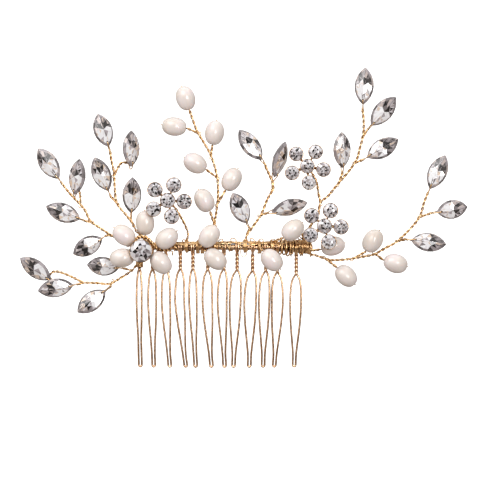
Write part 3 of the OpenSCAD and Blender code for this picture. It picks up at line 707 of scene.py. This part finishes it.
def leaf_tie(shape, leaf, behind):
    """Fine wire through a crystal's hole, and its tight twist below the drilled end."""
    place = aim(leaf[0], np.subtract(leaf[1], leaf[0]), leaf[2])
    loop = smooth(TIE_FROM_BEHIND if behind else TIE_FROM_BELOW, 6)
    shape.wire([place(p) for p in loop], TIE, step=0.16)
    if not behind:
        s = np.linspace(0, 1, 40)
        coil = [place((0.3 * math.cos(a), 0.3 * math.sin(a), -2.3 + 1.35 * b))
                for a, b in zip(2 * math.pi * 3.2 * s, s)]
        shape.wire(coil, COIL, step=0.12)


def pearl_wire(shape, pearl):
    """Fine wire through a pearl, bent back outside it and carried behind it to the stem."""
    centre, angle, way = pearl
    u = -way * flat_dir(angle)
    reach = PEARL_LEN / 2 + 0.9
    back = PEARL_D / 2 + 0.35
    bend = [(-1.0, 0.1), (-0.94, 0.45), (-0.7, 0.84), (-0.36, 1), (0, 1.04), (0.36, 1), (0.7, 0.86),
            (0.88, 0.52), (0.9, 0.16), (0.84, 0.0), (0.7, 0)]
    returned = [np.array(centre) + u * reach * a + np.array([0, back * b, 0]) for a, b in bend]
    straight = [np.array(centre) + u * reach * a for a in (0.5, 0, -0.5, -1)]
    shape.wire(smooth(returned + straight, 6), PEARL_TIE, step=0.2)


def eyelet(shape, branch, seed):
    """Small open eye of wire where a branch leaves its stem."""
    rng = random.Random(seed)
    x, y, z = np.array(branch[0]) - 0.55 * unit(np.subtract(branch[1], branch[0]))
    start = rng.uniform(0, 360)
    shape.wire([(x + 0.4 * math.cos(a), y - 0.25 + 0.1 * math.sin(2 * a), z + 0.46 * math.sin(a))
                for a in np.radians(np.linspace(start, start + 340, 22))], COIL, step=0.14)


# The bend's own stretch of stem: how far before and after the pivot, and how far it laps the rest
BEND_BEFORE = 0.7
BEND_AFTER = 0.9
LAP = 0.02


def stem_piece(name):
    """A sprig's wires: rooted on the comb, bending at the joint, then the branches."""
    body, root, stems = SPRIGS[name]
    joint = next(j for j in frame["joints"] if j["name"] == f"{name}_bend")
    pivot = np.array(joint["pos_m"]) / MM
    main = even(smooth(root + stems[0]), 0.16)
    s = lengths(main)
    at = s[np.argmin(np.linalg.norm(main - pivot, axis=1))]
    twisted(roots, main, part=(0, at - BEND_BEFORE))
    crossing = Shape()
    twisted(crossing, main, part=(at - BEND_BEFORE - LAP, at + BEND_AFTER + LAP))
    obj = crossing.build(f"{name}_bend_wire", gold, None, "gold_wire")
    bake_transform(obj)
    shape = Shape()
    twisted(shape, main, part=(at + BEND_AFTER, TO_THE_END))
    for k, branch in enumerate(stems[1:]):
        twisted(shape, smooth(branch), seed=3 + k, phase=k)
        if len(branch) < 5 and branch[0] != stems[0][0]:
            eyelet(shape, branch, len(name) + k)
    return shape, body


roots = Shape()
ROOTS_AT = [(-26.3, 80), (-22.4, 80), (-9.7, 80), (-0.7, 70), (8.3, 80), (26.5, 80), (28.4, -70)]
for x, angle in ROOTS_AT:
    wound_end(roots, x, angle)
for name in SPRIGS:
    shape, body = stem_piece(name)
    for k, leaf in enumerate(LEAVES.get(name, [])):
        leaf_tie(shape, leaf, (name, k) in TIED_BEHIND)
    for pearl in {"pearl_spray": SPRAY_PEARLS, "lower_right": RIGHT_PEARLS}.get(name, []):
        pearl_wire(shape, pearl)
    shape.build(f"{name}_wires", gold, body, "gold_wire", f"{name}_stem")
# Coil of fine wire round the first tooth's rope
first = TEETH[0][0]
s = np.linspace(0, 1, 120)
roots.wire([(first + 1.0 * math.cos(a), bow_y(first) + 1.0 * math.sin(a), -6.2 + 1.7 * b)
            for a, b in zip(2 * math.pi * 5.3 * s, s)], step=0.15)
roots.build("root_wires", gold, "comb", "gold_wire", "stem_roots")


# ---------------------------------------------------------------- pearls on the comb
petal_wires = Shape()
CORE = np.array([-23.4, -2.4, 0.2])
for i, pearl in enumerate(PETALS):
    pearl_wire(petal_wires, pearl)
    entry = CORE + np.array([0, (0.5, 1.4, 0.3, 0.9, 0.7)[i], 0])
    twisted(petal_wires, [inner_end(pearl), entry], seed=20 + i, phase=i)
for k in range(3):
    turns = np.linspace(0, 1, 70)
    petal_wires.wire([CORE + np.array([0.55 * math.cos(a), 0.2 + 1.8 * b, 0.55 * math.sin(a)])
                      for a, b in zip(2 * math.pi * 4 * turns + 2 * k, turns)], step=0.15)
STALK_AT = -18.3  # Where the flower's own stalk is wound on
twisted(petal_wires, smooth([
    CORE + np.array([0, 1.8, 0]), (-20.8, -1.1, 0.2), round_spine(STALK_AT, TAIL_R, 0)]))
wound_end(petal_wires, STALK_AT, 0)
# Thick cord of fine wire that curves over the flower's middle
CORD = [
    (-28, -1.6, 0.4), (-26.6, -2.9, 1.6), (-25.3, -3.9, 2.6), (-23.9, -4.3, 3.2), (-22.3, -4.3, 3),
    (-20.9, -4, 1.9), (-19.7, -3.4, 0.3), (-18.4, -2.6, -0.7), (-16.6, -2.1, -0.9),
    (-14.6, -2, -0.8)]
twisted(petal_wires, smooth(CORD), gap=0.34, r=0.32, pitch=2.3, seed=41)
petal_wires.build("flower_wires", gold, "comb", "gold_wire", "petal_wires")

spine_wires = Shape()
# Where each pearl's wire is wound on, at which angle, and what it passes on the way
WOUND = [
    (-6.2, 0, []), (-4.8, 0, []), (12.75, 0, []), (16.6, 50, []),
    (27.45, -10, [(29.6, 1.1, -1), (28.4, 0.6, -0.7)])]
for i, (pearl, (x, angle, between)) in enumerate(zip(SPINE_PEARLS, WOUND)):
    pearl_wire(spine_wires, pearl)
    wound_end(spine_wires, x, angle)
    path = smooth([inner_end(pearl), *between, round_spine(x, TAIL_R, angle)])
    twisted(spine_wires, path, seed=60 + i)
spine_wires.build("spine_pearl_ties", gold, "comb", "gold_wire", "spine_pearl_wires")


def pearl_piece(name, pearl, seed):
    """Rice pearl with a drilled hole, a little uneven as grown ones are."""
    rng = random.Random(seed)
    bore, half = PEARL_BORE / 2, PEARL_LEN / 2
    egg = rng.uniform(-0.05, 0.05)
    lobes = [(rng.uniform(0.004, 0.011), rng.randint(2, 4),
              rng.uniform(0, 6.3), rng.uniform(0.2, 0.7)) for _ in range(4)]

    def wobble(a, s):
        """Uneven growth, left out at the hole's ends."""
        if abs(s) > half - 0.17:
            return 1
        return 0.985 + egg * s / PEARL_LEN * 0.6 + sum(
            size * math.sin(count * a + shift + rate * s) for size, count, shift, rate in lobes)

    start = math.asin(2 * bore / PEARL_D)
    outline = [(bore, -half + 0.5), (bore, -half + 0.16)]
    for i in range(25):
        a = start + 0.1 + (math.pi - 2 * start - 0.2) * i / 24
        outline.append((PEARL_D / 2 * PEARL_FATTER * math.sin(a) ** 0.88,
                        -half * math.cos(a) * PEARL_LONGER))
    outline += [(bore, half - 0.16), (bore, half - 0.5)]
    shape = Shape()
    shape.revolve(outline, aim(pearl[0], flat_dir(pearl[1])), 48, wobble)
    shape.build(f"{name}_nacre", pearl_nacre, name, "pearl", name, weld=0.001)


for group, pearls in (("petal_pearl", PETALS), ("spine_pearl", SPINE_PEARLS),
                      ("spray_pearl", SPRAY_PEARLS), ("lower_right_pearl", RIGHT_PEARLS)):
    for i, pearl in enumerate(pearls):
        pearl_piece(f"{group}_{i + 1}", pearl, len(group) * 10 + i)


# ---------------------------------------------------------------- crystals
FALL = 0.82  # How far a crystal's facets fall from its peak to its edge


def navette_half(s, length):
    """Half width at s from the middle, between two equal arcs."""
    r = (length * length + NAVETTE_W * NAVETTE_W) / (4 * NAVETTE_W)
    return math.sqrt(max(0, r * r - s * s)) - r + NAVETTE_W / 2


def navette(shape, leaf, seed):
    """Navette: the facets of each face rise to a peak, inside a ring of narrow ones.

    The half towards the tip is painted with dark and grey facets as shade and reflections, and the
    drilled half is painted pale.
    """
    rng = random.Random(seed)
    length = float(np.linalg.norm(np.subtract(leaf[1], leaf[0])))
    place = aim(leaf[0], np.subtract(leaf[1], leaf[0]), leaf[2])
    steps = 5
    n = 4 * steps
    rim = []
    for q in range(n):
        a = math.pi / 2 * q / steps
        s = length / 2 * math.cos(a)
        half = 0.0 if q % (2 * steps) == 0 else navette_half(s, length)
        rim.append((math.copysign(half, math.sin(a)), s))
    painted_dark_side = rng.choice((-1, 1))
    turned = abs(leaf[2]) > 20

    # Painted light: each facet gets a grey from black to white that stands for reflection and
    # shade, by where it sits on the crystal
    def tone(points, inner):
        x = np.mean([p[0] for p in points]) / NAVETTE_W * 2
        s = np.mean([p[2] for p in points]) / length * 2
        if turned and x * painted_dark_side > 0.25:
            return rng.choice([0.7, 0.7, 0.62, 0.85, 0.3])
        if s > 0.04:
            if inner and s < 0.5 and (x * painted_dark_side > -0.1 or rng.random() < 0.4):
                return rng.choice([0.0, 0.0, 0.04, 0.3])
            grey = [0.1, 0.3, 0.4, 0.55, 0.6, 0.85] if s < 0.6 else [0.25, 0.4, 0.5, 0.6]
            return rng.choice(grey)
        if s < -0.72:
            return rng.choice([0.2, 0.85, 0.95])
        return rng.choice([0.95, 1.0, 1.0, 1.0, 1.0, 0.5 if inner else 0.85])

    crown, belt, peak, edge = 0.84, 0.46, NAVETTE_T / 2, 0.2  # Rings of facets, top, girdle
    verts, faces, tones, backs = [], [], [], []

    def facet(*corners, inner=True):
        """One cut face, split into patches of painted light where the back's facets would throw
        reflections and shade into it.
        """
        points = [verts[c] for c in corners]
        base = tone(points, inner)
        weights = np.array([rng.uniform(0.5, 1.5) for _ in corners])
        verts.append(tuple(np.array(points).T @ (weights / weights.sum())))
        s = np.mean([p[2] for p in points]) / length * 2
        for k in range(3):
            faces.append((corners[k], corners[(k + 1) % 3], len(verts) - 1))
            if inner and -0.7 < s < -0.25 and rng.random() < 0.16:
                tones.append(0.35)
            elif rng.random() < 0.35:
                tones.append(min(1, max(0, base + rng.choice((-0.3, -0.15, 0.3)))))
            else:
                tones.append(base)

    for side in (-1, 1):
        base = len(verts)
        verts += [(x, side * edge, s) for x, s in rim]
        for scale, lift in ((crown, 0), (belt, 0.05)):
            for x, s in rim:
                slope = abs(x) / NAVETTE_W * 2 + abs(s) / length * 2
                verts.append((x * scale, side * (peak - FALL * scale * slope + lift), s * scale))
        verts.append((0, side * peak, 0))
        apex = base + 3 * n
        backs.append(base)
        # Narrow facets round the edge, painted greys of reflection and shade
        for q in range(n):
            p = (q + 1) % n
            faces.append((base + q, base + p, base + n + p, base + n + q))
            tones.append(rng.choice([0.22, 0.32, 0.42, 0.5, 0.6]))
        for q in range(0, n, 2):
            p, r = q + 1, (q + 2) % n
            c, b = base + n, base + 2 * n
            facet(b + q, c + q, c + p, inner=False)
            facet(b + q, c + p, b + r)
            facet(b + r, c + p, c + r, inner=False)
            facet(apex, b + q, b + r)
    # Edge band between the two faces, painted a dark grey of shade
    for q in range(n):
        p = (q + 1) % n
        faces.append((q, p, backs[1] + p, backs[1] + q))
        tones.append(0.3)
    shape.add([place((x, y, s + length / 2)) for x, y, s in verts], faces, tones, rounded=False)
    return place


def cut_hole(obj, holes):
    """Drills the crystals of one piece. holes gives each crystal's own frame."""
    for place in holes:
        drill = Shape()
        drill.tube([place((0, y, HOLE_S)) for y in (-NAVETTE_T, 0, NAVETTE_T)], HOLE_R, 16)
        tool = drill.build("drill", leaf_glass, None, "navette_crystal")
        modifier = obj.modifiers.new("hole", "BOOLEAN")
        modifier.object = tool
        modifier.solver = "EXACT"
        with bpy.context.temp_override(object=obj, active_object=obj):
            bpy.ops.object.modifier_apply(modifier=modifier.name)
        bpy.data.objects.remove(tool)


for name, leaves in LEAVES.items():
    shape = Shape()
    holes = [navette(shape, leaf, 7 * i + len(name)) for i, leaf in enumerate(leaves)]
    obj = shape.build(f"{name}_crystals", leaf_glass, SPRIGS[name][0], "navette_crystal",
                      f"{name}_leaves", weld=0.001)
    cut_hole(obj, holes)


# ---------------------------------------------------------------- round stones
def stone(shape, at, d, seed):
    """Round cut stone: a table, kites round it and a pointed foiled back.

    The rings' radii and depths are parts of d. The table is split as the back's facets cross it,
    and each facet gets a grey of painted reflection and shade.
    """
    rng = random.Random(seed)
    spin = rng.uniform(0, 45)
    x, y, z = at
    verts, faces, tones = [], [], []

    def ring(r, depth, count, shift=0.0):
        first = len(verts)
        for k in range(count):
            a = math.radians(360 / count * k + shift + spin)
            verts.append((x + r * d * math.cos(a), y + depth * d, z + r * d * math.sin(a)))
        return first

    # Each facet is painted a grey picked from its list, as painted reflection and shade
    def facet(corners, painted_choices):
        faces.append(corners)
        tones.append(rng.choice(painted_choices))

    star = ring(0.13, -0.212, 8, 22.5)
    table = ring(0.29, -0.205, 8)
    kite = ring(0.43, -0.12, 8, 22.5)
    rim = ring(0.56, -0.03, 16)
    base = ring(0.56, 0.02, 16)
    tip = len(verts)
    verts.append((x, y + 0.34 * d, z))
    middle = len(verts)
    verts.append((x, y - 0.215 * d, z))
    for k in range(8):
        m, j = (k + 1) % 8, (k - 1) % 8
        facet((middle, star + j, star + k), [0.85, 0.55, 0.95, 0.4])
        facet((star + k, star + j, table + k), [0.95, 0.6, 0.85, 0.05])
        facet((star + k, table + k, table + m), [0.02, 0.0, 0.5, 0.9])
        facet((table + k, kite + k, table + m), [0.0, 0.35, 0.9, 0.6])
        facet((table + k, rim + 2 * k, kite + k), [0.95, 0.85, 0.1, 0.5])
        facet((table + m, kite + k, rim + (2 * k + 2) % 16), [0.9, 1.0, 0.55])
        facet((kite + k, rim + 2 * k, rim + 2 * k + 1), [0.3, 0.55, 0.9])
        facet((kite + k, rim + 2 * k + 1, rim + (2 * k + 2) % 16), [0.95, 0.3, 0.6])
    # Girdle painted dark grey, back facets painted white or dark grey, as reflection and shade
    for k in range(16):
        m = (k + 1) % 16
        facet((rim + k, rim + m, base + m, base + k), [0.2])
        facet((base + k, base + m, tip), [1.0, 0.3])
    shape.add(verts, faces, tones, rounded=False)


def cup(shape, at, d):
    """Thin metal cup behind a stone, with a rolled lip round its edge."""
    r = 0.562 * d
    profile = [(r, -0.05 * d), (r + 0.03, -0.06 * d), (r + 0.1, -0.04 * d), (r + 0.1, 0.08 * d),
               (0.82 * r, 0.3 * d), (0.55 * r, 0.44 * d), (0.001, 0.45 * d), (0.001, 0.4 * d),
               (0.5 * r, 0.39 * d), (0.76 * r, 0.25 * d), (r, 0.03 * d)]
    x, y, z = at
    shape.revolve(profile, lambda p: (x + p[0], y + p[2], z - p[1]), 40)


def petal_at(blossom, k):
    """Middle of a blossom's petal stone."""
    return np.array(blossom[0]) + PETAL_RING * flat_dir(blossom[1] + 72 * k)


for name, blossom in BLOSSOMS.items():
    body = blossom[2]
    stones, cups = Shape(), Shape()
    centre = np.array(blossom[0])
    # Smaller in the upper blossom, which needs room as the centre sprig bends past
    size = STONE_D * (0.95 if name == "upper_blossom" else 1)
    for k in range(6):
        at = centre if k == 5 else petal_at(blossom, k)
        stone(stones, at, size, 17 * k + len(name))
        cup(cups, at, size)
        if k < 5:
            twisted(cups, [centre + (0, 1.9, 0), at + (0, 1.9, 0)], seed=70 + k, phase=k)
    stones.build(f"{name}_cut_stones", stone_glass, body, "round_stone", f"{name}_stones",
                 weld=0.001)
    cups.build(f"{name}_settings", cup_gold, body, "gold_cup", f"{name}_cups", weld=0.002)

shape = Shape()
stone(shape, FLOWER, CENTER_D, 5)
shape.build("flower_cut_stone", stone_glass, "comb", "round_stone", "center_stone", weld=0.001)
shape = Shape()
cup(shape, FLOWER, CENTER_D)
shape.build("flower_setting", cup_gold, "comb", "gold_cup", "center_cup", weld=0.002)

shape = Shape()
RIGHT_ROOT = (25.55, 45)  # Place and angle at which its stem leaves the windings
wound_end(shape, *RIGHT_ROOT)
twisted(shape, smooth([
    round_spine(RIGHT_ROOT[0], TAIL_R, RIGHT_ROOT[1]), (26.6, 0.6, 2.2), (29.4, -0.2, 3.8),
    (31.2, -0.9, 5.1), blossom_back("right_blossom", -0.4, -0.4)]))
shape.build("right_blossom_wires", gold, "comb", "gold_wire", "right_blossom_stem")


# ---------------------------------------------------------------- stage, light and camera
def floor():
    """Pale floor that curves up into a backdrop."""
    back, rise, half, wall, z0 = 2.4, 0.5, 2.4, 2.4, -0.078
    line = [(-back, z0), (back - rise, z0)]
    line += [(back - rise + rise * math.sin(a), z0 + rise - rise * math.cos(a))
             for a in np.linspace(0, math.pi / 2, 14)[1:]]
    line.append((back, wall))
    verts = [(x, y, z) for x in (-half, half) for y, z in line]
    n = len(line)
    faces = [(i, i + 1, n + i + 1, n + i) for i in range(n - 1)]
    mesh = bpy.data.meshes.new("floor")
    mesh.from_pydata(verts, [], faces)
    mesh.polygons.foreach_set("use_smooth", [True] * len(faces))
    obj = bpy.data.objects.new("floor", mesh)
    bpy.context.scene.collection.objects.link(obj)
    mat, _, bsdf = nodes_of("pale_floor")
    bsdf.inputs["Base Color"].default_value = (0.95, 0.95, 0.95, 1)
    bsdf.inputs["Roughness"].default_value = 0.9
    bsdf.inputs["Emission Color"].default_value = (1, 1, 1, 1)
    bsdf.inputs["Emission Strength"].default_value = 0.95
    mesh.materials.append(mat)
    # The room and the lamps shade the object, not the bright backdrop
    obj.visible_diffuse = False
    obj.visible_glossy = False


def softbox(name, place, size, power):
    """Rectangular lamp that faces the comb."""
    data = bpy.data.lights.new(name, "AREA")
    data.shape = "RECTANGLE"
    data.size, data.size_y = size
    data.energy = power
    obj = bpy.data.objects.new(name, data)
    bpy.context.scene.collection.objects.link(obj)
    obj.location = place
    obj.rotation_euler = (-Vector(place)).to_track_quat("-Z", "Y").to_euler()


floor()
softbox("key", (-0.35, -0.6, 0.5), (0.7, 0.5), 3.7)
softbox("fill", (0.3, -0.85, 0.12), (0.3, 0.4), 3.8)
softbox("top", (0.0, 0.05, 0.7), (0.7, 0.3), 0.8)

# The room: paler above, with a darker band across the middle and another at the right
world = bpy.data.worlds.new("studio")
bpy.context.scene.world = world
world.use_nodes = True
tree = world.node_tree
background = tree.nodes["Background"]
where = node(tree, "ShaderNodeTexCoord")
split = node(tree, "ShaderNodeSeparateXYZ")
tree.links.new(where.outputs["Generated"], split.inputs[0])
height = spread(tree, split.outputs["Z"], -1, 1, 0, 1)
room = ramp(tree, height.outputs[0], [
    (0.0, (0.55, 0.50, 0.46)), (0.35, (0.20, 0.17, 0.15)), (0.55, (0.42, 0.40, 0.38)),
    (1.0, (0.85, 0.85, 0.85))])
across = spread(tree, split.outputs["X"], -1, 1, 0, 1)
sides = ramp(tree, across.outputs[0], [
    (0.0, (1, 1, 1)), (0.25, (1, 1, 1)), (0.42, (0.4, 0.4, 0.4)), (0.58, (0.5, 0.5, 0.5)),
    (0.75, (1, 1, 1)), (0.9, (0.5, 0.5, 0.5))])
walls = node(tree, "ShaderNodeMix", data_type="RGBA", blend_type="MULTIPLY")
walls.inputs["Factor"].default_value = 1.0
tree.links.new(room.outputs[0], walls.inputs[MIX_A])
tree.links.new(sides.outputs[0], walls.inputs[MIX_B])
tree.links.new(walls.outputs[MIX_OUT], background.inputs["Color"])
background.inputs["Strength"].default_value = 1.4

LENS = 180
SENSOR = 36
VIEW_WIDTH = 148.8  # mm across the picture, at the comb
VIEW_MIDDLE = (6.8, 0, 2.2)
camera_data = bpy.data.cameras.new("camera")
camera_data.lens = LENS
camera_data.sensor_width = SENSOR
camera = bpy.data.objects.new("camera", camera_data)
bpy.context.scene.collection.objects.link(camera)
camera.location = Vector(VIEW_MIDDLE) * MM - Vector((0, VIEW_WIDTH * MM * LENS / SENSOR, 0))
camera.rotation_euler = (math.pi / 2, 0, 0)
bpy.context.scene.camera = camera
bpy.context.scene.view_settings.view_transform = "Standard"
